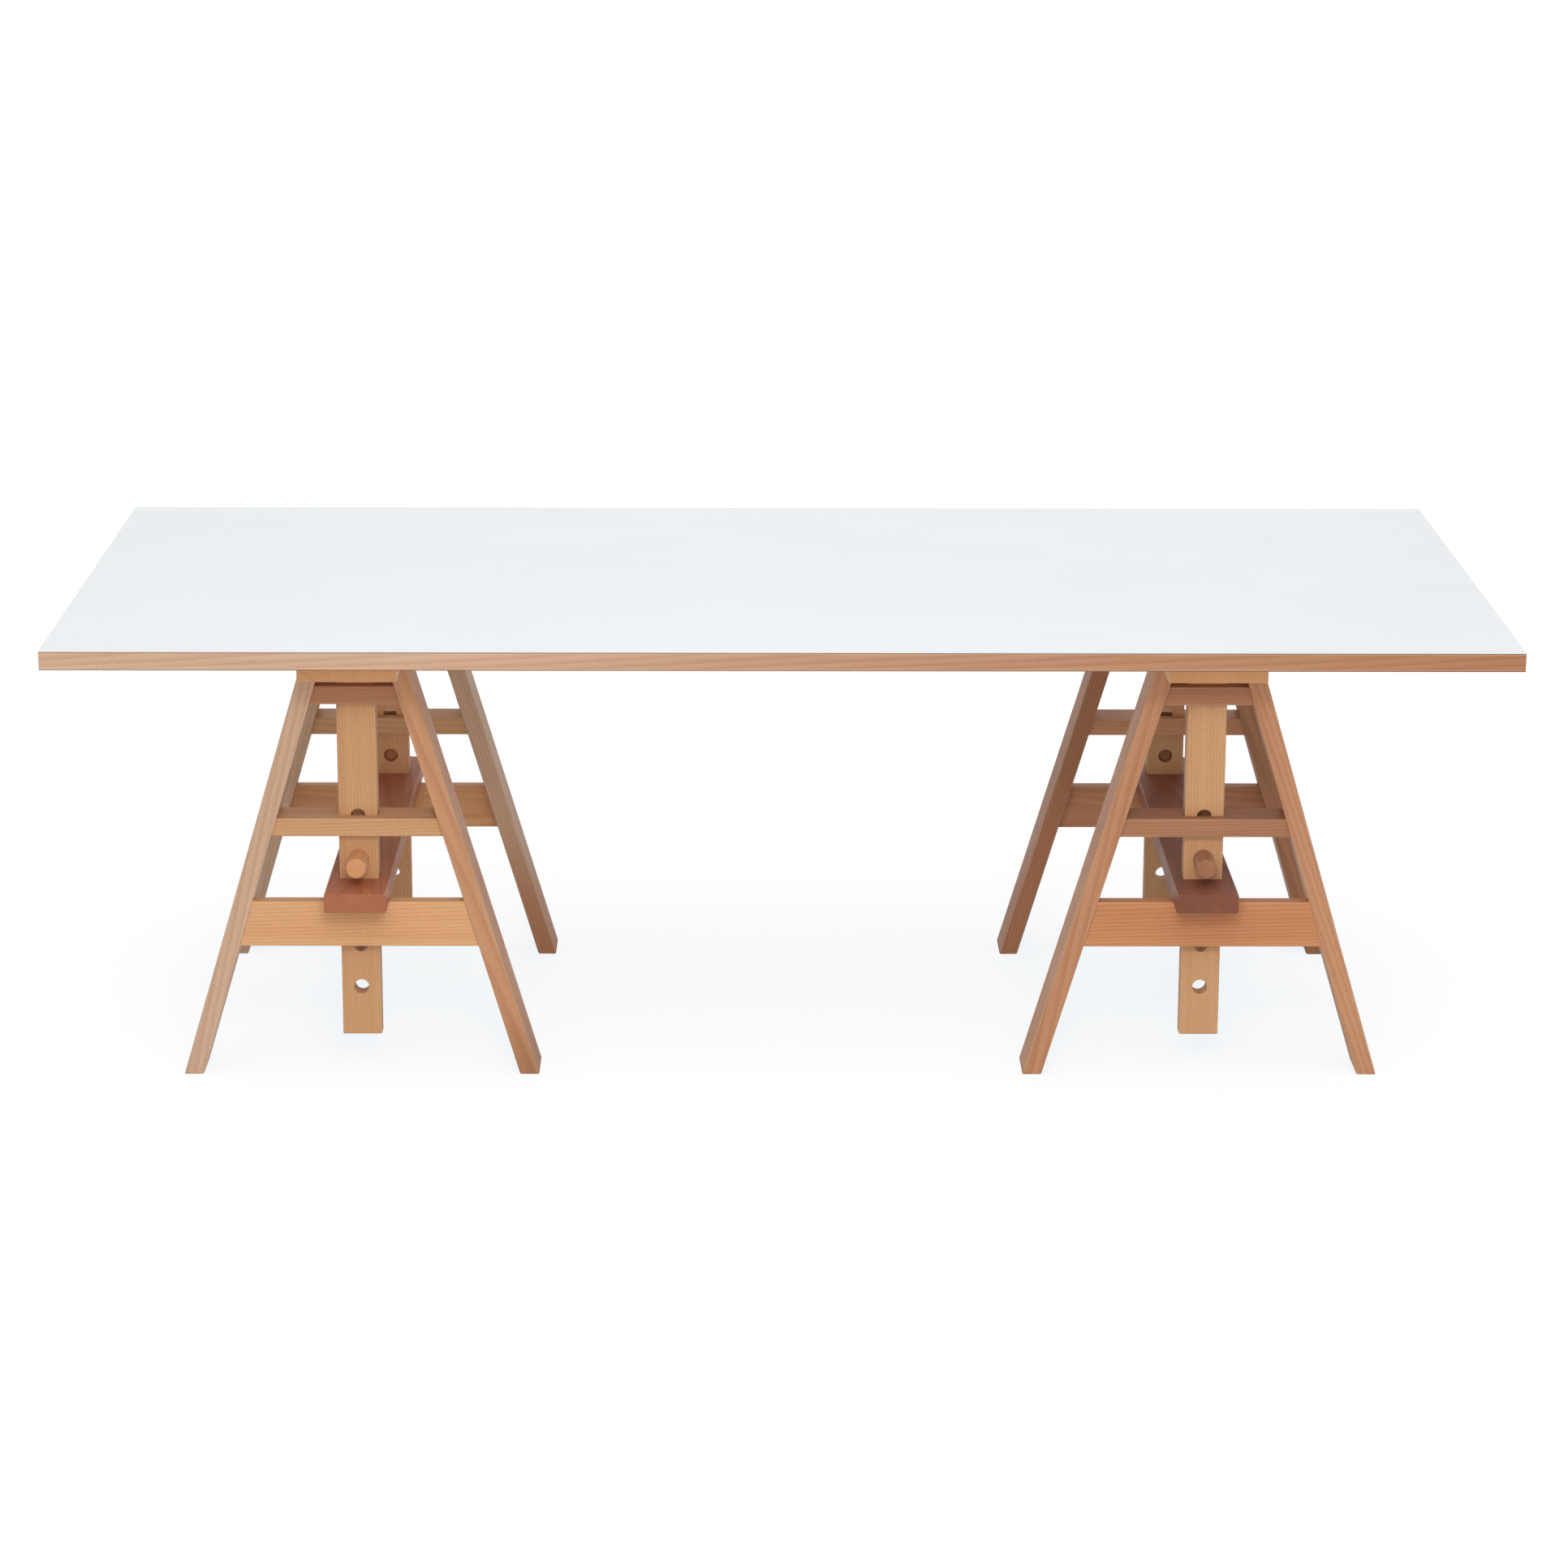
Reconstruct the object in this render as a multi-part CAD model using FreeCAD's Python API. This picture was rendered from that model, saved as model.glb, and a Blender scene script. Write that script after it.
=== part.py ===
"""Trestle table: a loose laminated top on two wooden trestles of adjustable height.

All sizes are in millimetres. X runs along the table, Y from the front to the back and Z up.
The origin lies on the floor, under the middle of the top. The table stands at its lowest setting.
"""
import FreeCAD
import Part
import math
import os

# Table top: a core board between two laminate sheets, with a solid wood lipping on each edge.
TOP_LENGTH = 2000.0
TOP_DEPTH = 1000.0
TOP_HEIGHT = 652.0
CORE_THICK = 22.6
LAMINATE_THICK = 1.2
LIPPING_WIDTH = 18.0

# Trestle places under the top.
TRESTLE_SPACING = 1186.0
FRAME_DEPTH = 660.0

# Legs: boards set edge-on to the front, leaning sideways only.
LEG_FACE = 26.0
LEG_DEPTH = 75.0
FOOT_HALF_SPREAD = 251.0
CROWN_HALF_SPREAD = 73.0

# Low rails stand on edge, flush with the outer faces of the legs.
LOW_RAIL_BOTTOM = 189.0
LOW_RAIL_HEIGHT = 65.0
LOW_RAIL_THICK = 24.0
LOW_TENON_HEIGHT = 48.0
LOW_TENON_THICK = 10.0

# Flat rails: the middle one and the top one lie flat and guide the posts.
FLAT_RAIL_DEPTH = 62.0
FLAT_RAIL_THICK = 26.0
MID_RAIL_OVER_STRETCHER = 66.0
TOP_RAIL_UNDER_CROWN = 33.0
FLAT_TENON_DEPTH = 40.0
FLAT_TENON_THICK = 14.0
TENON_LENGTH = 16.0
MORTISE_END_GAP = 1.0

# Stretcher: a board lying on the low rails from front to back.
STRETCHER_WIDTH = 86.0
STRETCHER_THICK = 27.0
STRETCHER_LENGTH = 772.0
DOWEL_DIAMETER = 8.0
DOWEL_LENGTH = 36.0
DOWEL_PITCH = 44.0
DOWEL_END_GAP = 1.0
GLUE_GAP = 0.05

# Posts: upright boards that slide in the rails and carry the beam.
POST_WIDTH = 55.0
POST_THICK = 26.0
POST_BOTTOM = 52.0
POST_TENON_WIDTH = 36.0
POST_TENON_THICK = 14.0
POST_TENON_LENGTH = 18.0
SLIDE_CLEARANCE = 0.5
HOLE_PITCH = 62.5
HOLES_BELOW_PEG = 3
HOLES_ABOVE_PEG = 1

# Beam: the board on top of each trestle that the table top lies on.
BEAM_WIDTH = 136.0
BEAM_THICK = 31.0
BEAM_LENGTH = 876.0

# Pegs: turned pins in the posts, over the stretcher. At the lowest setting the beam sits on the legs.
PEG_SHANK_DIAMETER = 20.4
PEG_HOLE_CLEARANCE = 0.3
PEG_HEAD_DIAMETER = 28.5
PEG_HEAD_LENGTH = 54.0
PEG_HEAD_ROUND = 3.0
PEG_TIP_CHAMFER = 2.0
PEG_TIP_INSET = 9.0
PEG_GAP = 14.5

# Edge rounding of the planed boards, and the bevel around their sawn ends.
BOARD_ROUND = 2.0
END_BEVEL = 1.2

# Heights and places that follow from the sizes above.
LAMINATE_BOTTOM = TOP_HEIGHT - LAMINATE_THICK
CORE_BOTTOM = LAMINATE_BOTTOM - CORE_THICK
BEAM_TOP = CORE_BOTTOM - LAMINATE_THICK
BEAM_BOTTOM = BEAM_TOP - BEAM_THICK
LOW_RAIL_TOP = LOW_RAIL_BOTTOM + LOW_RAIL_HEIGHT
STRETCHER_TOP = LOW_RAIL_TOP + STRETCHER_THICK
MID_RAIL_BOTTOM = STRETCHER_TOP + MID_RAIL_OVER_STRETCHER
TOP_RAIL_BOTTOM = BEAM_BOTTOM - TOP_RAIL_UNDER_CROWN - FLAT_RAIL_THICK
PEG_HEIGHT = STRETCHER_TOP + PEG_HEAD_DIAMETER / 2 + PEG_GAP
PEG_SHANK_LENGTH = POST_THICK - PEG_TIP_INSET
LEG_TOP = BEAM_BOTTOM
LEG_SLOPE = (FOOT_HALF_SPREAD - CROWN_HALF_SPREAD) / LEG_TOP
LEG_FACE_LEVEL = LEG_FACE * math.hypot(1.0, LEG_SLOPE)
FRAME_OUTER = FRAME_DEPTH / 2
FRAME_MIDDLE = FRAME_OUTER - LEG_DEPTH / 2
LOW_RAIL_MIDDLE = FRAME_OUTER - LOW_RAIL_THICK / 2
POST_OUTER = FRAME_MIDDLE + POST_THICK / 2

AXIS_X = FreeCAD.Vector(1, 0, 0)
AXIS_Y = FreeCAD.Vector(0, 1, 0)
AXIS_Z = FreeCAD.Vector(0, 0, 1)


def block(centre_x, centre_y, bottom, width, depth, height):
    """Return an upright box, centred in plan on a point."""
    corner = FreeCAD.Vector(centre_x - width / 2, centre_y - depth / 2, bottom)
    return Part.makeBox(width, depth, height, corner)


def upright_prism(points, centre_y, depth):
    """Return a solid with an outline in the XZ plane, centred on centre_y."""
    outline = [FreeCAD.Vector(x, centre_y - depth / 2, z) for x, z in points]
    face = Part.Face(Part.makePolygon(outline + outline[:1]))
    return face.extrude(AXIS_Y * depth)


def flat_prism(points, bottom, height):
    """Return a solid with an outline in the XY plane."""
    outline = [FreeCAD.Vector(x, y, bottom) for x, y in points]
    face = Part.Face(Part.makePolygon(outline + outline[:1]))
    return face.extrude(AXIS_Z * height)


def ease_edges(shape, direction, radius=BOARD_ROUND):
    """Round the edges of a board that run in one direction."""
    unit = FreeCAD.Vector(direction).normalize()
    chosen = []
    for edge in shape.Edges:
        if abs(edge.tangentAt(edge.FirstParameter).dot(unit)) > 0.999:
            chosen.append(edge)
    return shape.makeFillet(radius, chosen)


def bevel_ends(shape, direction, radius=END_BEVEL):
    """Bevel the edges around the ends of a board that lie square to a direction."""
    chosen = []
    for edge in shape.Edges:
        places = [vertex.Point.dot(direction) for vertex in edge.Vertexes]
        if max(places) - min(places) < 1e-6:
            chosen.append(edge)
    return shape.makeChamfer(radius, chosen)


def leg_inner(height):
    """Return how far the inner face of a leg is from the trestle's middle at a height."""
    return FOOT_HALF_SPREAD - LEG_SLOPE * height - LEG_FACE_LEVEL


def leg_board(centre_x, side, centre_y):
    """Return a plain leg: side -1 leans to the left and +1 to the right."""
    foot = FOOT_HALF_SPREAD
    crown = FOOT_HALF_SPREAD - LEG_SLOPE * LEG_TOP
    outline = [(foot, 0.0), (crown, LEG_TOP), (leg_inner(LEG_TOP), LEG_TOP), (leg_inner(0.0), 0.0)]
    points = [(centre_x + side * x, z) for x, z in outline]
    board = upright_prism(points, centre_y, LEG_DEPTH)
    return bevel_ends(ease_edges(board, FreeCAD.Vector(-side * LEG_SLOPE, 0, 1)), AXIS_Z)


def tenon(centre_x, side, centre_y, depth, bottom, height, length):
    """Return one tenon that enters a leg at right angles to the trestle's middle."""
    top = bottom + height
    outline = [
        (leg_inner(bottom), bottom),
        (leg_inner(top), top),
        (leg_inner(top) + length, top),
        (leg_inner(bottom) + length, bottom),
    ]
    points = [(centre_x + side * x, z) for x, z in outline]
    return upright_prism(points, centre_y, depth)


def rail_body(centre_x, centre_y, depth, bottom, height):
    """Return a rail whose ends follow the lean of the legs."""
    top = bottom + height
    points = [
        (centre_x - leg_inner(bottom), bottom),
        (centre_x + leg_inner(bottom), bottom),
        (centre_x + leg_inner(top), top),
        (centre_x - leg_inner(top), top),
    ]
    return ease_edges(upright_prism(points, centre_y, depth), AXIS_X)


class RailJoint:
    """The tenon that one kind of rail has on each end, and its mortise."""

    def __init__(self, offset_y, depth, middle_z, height):
        self.offset_y = offset_y
        self.depth = depth
        self.bottom = middle_z - height / 2
        self.height = height

    def make(self, centre_x, side, facing, length):
        """Return the tenon's solid on one side of the front (-1) or rear (+1) frame."""
        centre_y = facing * self.offset_y
        return tenon(centre_x, side, centre_y, self.depth, self.bottom, self.height, length)


LOW_JOINT = RailJoint(
    LOW_RAIL_MIDDLE, LOW_TENON_THICK, LOW_RAIL_BOTTOM + LOW_RAIL_HEIGHT / 2, LOW_TENON_HEIGHT
)
MID_JOINT = RailJoint(
    FRAME_MIDDLE, FLAT_TENON_DEPTH, MID_RAIL_BOTTOM + FLAT_RAIL_THICK / 2, FLAT_TENON_THICK
)
TOP_JOINT = RailJoint(
    FRAME_MIDDLE, FLAT_TENON_DEPTH, TOP_RAIL_BOTTOM + FLAT_RAIL_THICK / 2, FLAT_TENON_THICK
)


def make_leg(centre_x, side, facing):
    """Return a leg with the three mortises for its rails."""
    leg = leg_board(centre_x, side, facing * FRAME_MIDDLE)
    pocket = TENON_LENGTH + MORTISE_END_GAP
    mortises = [joint.make(centre_x, side, facing, pocket) for joint in (LOW_JOINT, MID_JOINT, TOP_JOINT)]
    return leg.cut(mortises)


def with_tenons(body, joint, centre_x, facing):
    """Return a rail body with a tenon on both ends."""
    ends = [joint.make(centre_x, side, facing, TENON_LENGTH) for side in (-1, 1)]
    return body.fuse(ends).removeSplitter()


def post_passage(centre_x, facing, bottom, height):
    """Return the clear space that a post slides through."""
    width = POST_WIDTH + 2 * SLIDE_CLEARANCE
    depth = POST_THICK + 2 * SLIDE_CLEARANCE
    return block(centre_x, facing * FRAME_MIDDLE, bottom, width, depth, height)


def dowel_places(centre_x, facing):
    """Return the plan points of the two dowels over one low rail."""
    return [(centre_x + side * DOWEL_PITCH / 2, facing * LOW_RAIL_MIDDLE) for side in (-1, 1)]


def dowel_hole(place):
    """Return the hole for one dowel, half in the low rail and half in the stretcher."""
    depth = DOWEL_LENGTH + 2 * DOWEL_END_GAP
    start = FreeCAD.Vector(place[0], place[1], LOW_RAIL_TOP - depth / 2)
    return Part.makeCylinder(DOWEL_DIAMETER / 2 + GLUE_GAP, depth, start, AXIS_Z)


def make_low_rail(centre_x, facing):
    """Return a low rail: a board on edge with the dowel holes for the stretcher."""
    body = rail_body(centre_x, facing * LOW_RAIL_MIDDLE, LOW_RAIL_THICK, LOW_RAIL_BOTTOM, LOW_RAIL_HEIGHT)
    rail = with_tenons(body, LOW_JOINT, centre_x, facing)
    return rail.cut([dowel_hole(place) for place in dowel_places(centre_x, facing)])


def make_flat_rail(centre_x, facing, bottom, joint):
    """Return a flat rail with the slot that guides the post."""
    body = rail_body(centre_x, facing * FRAME_MIDDLE, FLAT_RAIL_DEPTH, bottom, FLAT_RAIL_THICK)
    rail = with_tenons(body, joint, centre_x, facing)
    return rail.cut(post_passage(centre_x, facing, bottom, FLAT_RAIL_THICK))


def make_stretcher(centre_x):
    """Return the board that joins the front and rear frames."""
    board = block(centre_x, 0.0, LOW_RAIL_TOP, STRETCHER_WIDTH, STRETCHER_LENGTH, STRETCHER_THICK)
    board = bevel_ends(ease_edges(board, AXIS_Y), AXIS_Y)
    cuts = []
    for facing in (-1, 1):
        cuts.append(post_passage(centre_x, facing, LOW_RAIL_TOP, STRETCHER_THICK))
        cuts.extend(dowel_hole(place) for place in dowel_places(centre_x, facing))
    return board.cut(cuts)


def make_dowels(centre_x):
    """Return the four dowels that hold the stretcher on the low rails."""
    dowels = []
    for facing in (-1, 1):
        for x, y in dowel_places(centre_x, facing):
            start = FreeCAD.Vector(x, y, LOW_RAIL_TOP - DOWEL_LENGTH / 2)
            dowels.append(Part.makeCylinder(DOWEL_DIAMETER / 2, DOWEL_LENGTH, start, AXIS_Z))
    return Part.makeCompound(dowels)


def post_tenon(centre_x, facing, length):
    """Return the tenon on top of a post, of a given length."""
    return block(
        centre_x, facing * FRAME_MIDDLE, BEAM_BOTTOM, POST_TENON_WIDTH, POST_TENON_THICK, length
    )


def make_post(centre_x, facing):
    """Return a post with its row of peg holes."""
    centre_y = facing * FRAME_MIDDLE
    height = BEAM_BOTTOM - POST_BOTTOM
    board = ease_edges(block(centre_x, centre_y, POST_BOTTOM, POST_WIDTH, POST_THICK, height), AXIS_Z)
    foot_edges = [edge for edge in board.Edges if edge.BoundBox.ZMax < POST_BOTTOM + 1e-3]
    board = board.makeChamfer(END_BEVEL, foot_edges)
    radius = PEG_SHANK_DIAMETER / 2 + PEG_HOLE_CLEARANCE
    holes = []
    for step in range(-HOLES_BELOW_PEG, HOLES_ABOVE_PEG + 1):
        start = FreeCAD.Vector(centre_x, centre_y - POST_THICK, PEG_HEIGHT + step * HOLE_PITCH)
        holes.append(Part.makeCylinder(radius, 2 * POST_THICK, start, AXIS_Y))
    return board.cut(holes).fuse(post_tenon(centre_x, facing, POST_TENON_LENGTH))


def make_beam(centre_x):
    """Return the beam with the two mortises for its posts."""
    board = block(centre_x, 0.0, BEAM_BOTTOM, BEAM_WIDTH, BEAM_LENGTH, BEAM_THICK)
    board = bevel_ends(ease_edges(board, AXIS_Y), AXIS_Y)
    pocket = POST_TENON_LENGTH + MORTISE_END_GAP
    return board.cut([post_tenon(centre_x, facing, pocket) for facing in (-1, 1)])


def make_peg(centre_x, facing):
    """Return a turned peg: its head is outside the post and its shank crosses the post."""
    shoulder = FreeCAD.Vector(centre_x, facing * POST_OUTER, PEG_HEIGHT)
    outward = AXIS_Y * facing
    head = Part.makeCylinder(PEG_HEAD_DIAMETER / 2, PEG_HEAD_LENGTH, shoulder, outward)
    end = shoulder + outward * PEG_HEAD_LENGTH
    rim = [edge for edge in head.Edges if edge.Closed and abs(edge.CenterOfMass.y - end.y) < 1e-3]
    head = head.makeFillet(PEG_HEAD_ROUND, rim)
    shank = Part.makeCylinder(PEG_SHANK_DIAMETER / 2, PEG_SHANK_LENGTH, shoulder, -outward)
    tip = shoulder - outward * PEG_SHANK_LENGTH
    rim = [edge for edge in shank.Edges if edge.Closed and abs(edge.CenterOfMass.y - tip.y) < 1e-3]
    shank = shank.makeChamfer(PEG_TIP_CHAMFER, rim)
    return head.fuse(shank)


def make_trestle(name, centre_x):
    """Return the named pieces of one trestle."""
    inner_side = -1 if centre_x > 0 else 1
    pieces = {}
    for facing, frame in ((-1, "front"), (1, "rear")):
        pieces[f"{name}_{frame}_leg_inner"] = make_leg(centre_x, inner_side, facing)
        pieces[f"{name}_{frame}_leg_outer"] = make_leg(centre_x, -inner_side, facing)
        pieces[f"{name}_{frame}_low_rail"] = make_low_rail(centre_x, facing)
        pieces[f"{name}_{frame}_mid_rail"] = make_flat_rail(centre_x, facing, MID_RAIL_BOTTOM, MID_JOINT)
        pieces[f"{name}_{frame}_top_rail"] = make_flat_rail(centre_x, facing, TOP_RAIL_BOTTOM, TOP_JOINT)
        pieces[f"{name}_{frame}_post"] = make_post(centre_x, facing)
        pieces[f"{name}_{frame}_peg"] = make_peg(centre_x, facing)
    pieces[f"{name}_stretcher"] = make_stretcher(centre_x)
    pieces[f"{name}_stretcher_dowels"] = make_dowels(centre_x)
    pieces[f"{name}_beam"] = make_beam(centre_x)
    return pieces


def make_top():
    """Return the named pieces of the table top."""
    half_x = TOP_LENGTH / 2
    half_y = TOP_DEPTH / 2
    core_x = half_x - LIPPING_WIDTH
    core_y = half_y - LIPPING_WIDTH
    pieces = {
        "top_laminate": block(0.0, 0.0, LAMINATE_BOTTOM, TOP_LENGTH, TOP_DEPTH, LAMINATE_THICK),
        "top_core": block(0.0, 0.0, CORE_BOTTOM, 2 * core_x, 2 * core_y, CORE_THICK),
        "top_backing": block(0.0, 0.0, BEAM_TOP, TOP_LENGTH, TOP_DEPTH, LAMINATE_THICK),
    }
    for sign, name in ((-1, "front"), (1, "rear")):
        outer, inner = sign * half_y, sign * core_y
        points = [(-half_x, outer), (half_x, outer), (core_x, inner), (-core_x, inner)]
        pieces[f"top_lipping_{name}"] = flat_prism(points, CORE_BOTTOM, CORE_THICK)
    for sign, name in ((-1, "left"), (1, "right")):
        outer, inner = sign * half_x, sign * core_x
        points = [(outer, -half_y), (outer, half_y), (inner, core_y), (inner, -core_y)]
        pieces[f"top_lipping_{name}"] = flat_prism(points, CORE_BOTTOM, CORE_THICK)
    return pieces


def main():
    """Write every piece to its own file."""
    os.makedirs("parts", exist_ok=True)
    pieces = make_top()
    pieces.update(make_trestle("left", -TRESTLE_SPACING / 2))
    pieces.update(make_trestle("right", TRESTLE_SPACING / 2))
    for name, shape in pieces.items():
        shape.exportStep(os.path.join("parts", name + ".step"))
        print(name, len(shape.Solids), shape.isValid(), round(shape.Volume))


main()
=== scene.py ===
"""Looks of a long table: a white laminate top with wood edges, on two beech trestles pegged at a chosen height.

Every board keeps its solid and gets its own cut of beech: the figure is a solid pattern in the board's own
coordinates, with X along the grain, so that rings, fibres and end grain agree on every face.
"""

import logging
import math
from dataclasses import dataclass, field
from enum import Enum

import bpy
import numpy as np
from mathutils import Euler, Matrix, Vector


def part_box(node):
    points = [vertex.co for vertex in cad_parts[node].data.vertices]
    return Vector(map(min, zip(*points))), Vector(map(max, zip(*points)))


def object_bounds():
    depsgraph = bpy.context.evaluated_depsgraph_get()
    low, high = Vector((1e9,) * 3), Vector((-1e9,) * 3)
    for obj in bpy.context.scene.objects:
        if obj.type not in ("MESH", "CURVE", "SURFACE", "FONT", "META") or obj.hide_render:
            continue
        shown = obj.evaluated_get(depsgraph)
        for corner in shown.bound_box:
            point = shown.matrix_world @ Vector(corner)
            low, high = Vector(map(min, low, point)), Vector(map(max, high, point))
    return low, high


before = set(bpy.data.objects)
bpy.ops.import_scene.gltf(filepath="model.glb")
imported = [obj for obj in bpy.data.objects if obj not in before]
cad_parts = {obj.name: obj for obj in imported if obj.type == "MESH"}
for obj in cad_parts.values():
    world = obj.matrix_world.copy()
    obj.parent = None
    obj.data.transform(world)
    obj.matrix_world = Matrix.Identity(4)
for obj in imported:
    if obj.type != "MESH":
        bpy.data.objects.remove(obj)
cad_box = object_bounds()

GOLDEN_STEP = 0.6180339887

# The screen's curve: a straight dark end, and a lifted power for the rest.
SCREEN_LEVELS = 255
DARK_END = 0.04045
DARK_SLOPE = 12.92
CURVE_LIFT = 0.055
CURVE_POWER = 2.4

log = logging.getLogger("trestle_table")

Colour = tuple[float, float, float, float]
Triple = tuple[float, float, float]
Span = tuple[float, float]
Socket = bpy.types.NodeSocket
Feed = Socket | float | tuple | Vector

WHITE: Colour = (1.0, 1.0, 1.0, 1.0)


def paint(red: int, green: int, blue: int) -> Colour:
    """Turn a screen colour into the linear colour that a shader takes.

    Args:
        red: Red, 0 to 255.
        green: Green, 0 to 255.
        blue: Blue, 0 to 255.

    Returns:
        The linear colour with full opacity.
    """
    shares = np.array([red, green, blue]) / SCREEN_LEVELS
    curved = ((shares + CURVE_LIFT) / (1.0 + CURVE_LIFT)) ** CURVE_POWER
    linear = np.where(shares <= DARK_END, shares / DARK_SLOPE, curved)
    return (*(float(share) for share in linear), 1.0)


class Side(Enum):
    """The trestle at the table's left or right, with the sign of its place along X."""

    LEFT = -1
    RIGHT = 1

    @property
    def word(self) -> str:
        """The side's word in the names of the pieces."""
        return self.name.lower()


class Grain(Enum):
    """The way that a board's grain runs, as the turn that takes X to it."""

    ALONG_X = (0.0, 0.0, 0.0)
    ALONG_Y = (0.0, 0.0, math.pi / 2)
    ALONG_Z = (0.0, -math.pi / 2, 0.0)


class BeechTone(Enum):
    """Tones of steamed beech as early and late wood; a board's tone is partly its wood, partly painted light and
    shade.
    """

    BLOND = (paint(224, 190, 162), paint(195, 154, 124))
    STRAW = (paint(238, 186, 137), paint(214, 153, 103))
    HONEY = (paint(227, 179, 134), paint(199, 147, 101))
    AMBER = (paint(214, 160, 121), paint(183, 125, 90))
    COPPER = (paint(220, 156, 109), paint(190, 121, 78))
    CHESTNUT = (paint(191, 138, 102), paint(160, 107, 76))
    RUSSET = (paint(200, 131, 97), paint(169, 102, 73))
    UMBER = (paint(158, 101, 79), paint(128, 78, 60))

    @property
    def early(self) -> Colour:
        """The paler wood between the ring lines."""
        return self.value[0]

    @property
    def late(self) -> Colour:
        """The darker wood of the ring lines and streaks."""
        return self.value[1]


class NodeBench:
    """Adds and links the nodes of one node tree."""

    def __init__(self, tree: bpy.types.NodeTree) -> None:
        """Keep the tree that the nodes go into."""
        self.tree = tree

    @classmethod
    def cleared(cls, owner: bpy.types.Material | bpy.types.World) -> "NodeBench":
        """Clear the nodes of a material or a world for new ones.

        Args:
            owner: The material or the world.

        Returns:
            A bench for its nodes.
        """
        owner.use_nodes = True
        owner.node_tree.nodes.clear()
        return cls(owner.node_tree)

    def feed(self, socket: Socket, value: Feed) -> None:
        """Link a socket to an input, or set the input's value.

        Args:
            socket: The input to feed.
            value: An output to link, or a plain value.
        """
        if isinstance(value, Socket):
            self.tree.links.new(value, socket)
        else:
            socket.default_value = value

    def add(self, kind: str, inputs: dict[str | int, Feed], **settings: object) -> bpy.types.Node:
        """Add a node, set it up and feed its inputs.

        Args:
            kind: The node's type.
            inputs: What goes into each input, by name or number.
            settings: The node's own settings.

        Returns:
            The new node.
        """
        node = self.tree.nodes.new(kind)
        for name, value in settings.items():
            setattr(node, name, value)
        for name, value in inputs.items():
            self.feed(node.inputs[name], value)
        return node

    def math(self, operation: str, *values: Feed, clamp: bool = False) -> Socket:
        """Work out one number from up to three.

        Args:
            operation: The operation's name.
            values: Its operands.
            clamp: True to keep the result from 0 to 1.

        Returns:
            The result's socket.
        """
        inputs = dict(enumerate(values))
        return self.add("ShaderNodeMath", inputs, operation=operation, use_clamp=clamp).outputs[0]

    def scale_add(self, value: Feed, factor: float, rest: Feed, clamp: bool = False) -> Socket:
        """Multiply a number by a factor and add the rest."""
        return self.math("MULTIPLY_ADD", value, factor, rest, clamp=clamp)

    def vector(self, operation: str, *vectors: Feed) -> Socket:
        """Work out one vector from one or two."""
        return self.add("ShaderNodeVectorMath", dict(enumerate(vectors)), operation=operation).outputs[0]

    def split(self, vector: Feed) -> list[Socket]:
        """Take a vector apart into its three numbers."""
        return list(self.add("ShaderNodeSeparateXYZ", {0: vector}).outputs)

    def join(self, along: Feed, across: Feed, through: Feed) -> Socket:
        """Put three numbers together as a vector."""
        return self.add("ShaderNodeCombineXYZ", {0: along, 1: across, 2: through}).outputs[0]

    def rise(self, value: Feed, start: Feed, end: Feed) -> Socket:
        """Rise smoothly from 0 to 1 as a value goes from start to end.

        Args:
            value: The value to look at.
            start: Where the rise begins.
            end: Where it ends.

        Returns:
            The socket of the share.
        """
        inputs = {"Value": value, "From Min": start, "From Max": end}
        return self.add("ShaderNodeMapRange", inputs, interpolation_type="SMOOTHSTEP").outputs[0]

    def fall(self, value: Feed, start: Feed, end: Feed) -> Socket:
        """Fall smoothly from 1 to 0 as a value goes from start to end."""
        return self.math("SUBTRACT", 1.0, self.rise(value, start, end))

    def cells(self, vector: Feed) -> bpy.types.Node:
        """Add a pattern of cells, one to a unit, each with its own colour and the distance from its middle."""
        return self.add("ShaderNodeTexVoronoi", {"Vector": vector, "Scale": 1.0})

    def mix(self, share: Feed, first: Feed, second: Feed, blend: str = "MIX") -> Socket:
        """Mix two colours.

        Args:
            share: How much of the second colour goes in.
            first: The first colour.
            second: The second colour.
            blend: How they are mixed.

        Returns:
            The socket of the mixed colour.
        """
        inputs = {0: share, 6: first, 7: second}
        return self.add("ShaderNodeMix", inputs, data_type="RGBA", blend_type=blend).outputs[2]

    def bump(self, strength: float, depth: float, height: Feed) -> Socket:
        """Bend the surface's normal by a height, at a depth in metres."""
        return self.add("ShaderNodeBump", {"Strength": strength, "Distance": depth, "Height": height}).outputs[0]


@dataclass(frozen=True)
class DrawnNoise:
    """Smooth noise from 0 to 1, with its waves to a metre each way, its finer layers and how strong they are."""

    waves: Triple
    detail: float = 2.0
    roughness: float = 0.5

    def read(self, bench: NodeBench, place: Feed, shift: Feed | None = None) -> Socket:
        """Read the noise.

        Args:
            bench: Where the nodes go.
            place: Where to read it, in metres.
            shift: How far to move on in it, in waves.

        Returns:
            The socket of the noise.
        """
        place = bench.vector("MULTIPLY", place, self.waves)
        if shift is not None:
            place = bench.vector("ADD", place, shift)
        inputs = {"Vector": place, "Scale": 1.0, "Detail": self.detail, "Roughness": self.roughness}
        return bench.add("ShaderNodeTexNoise", inputs).outputs[0]


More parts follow.
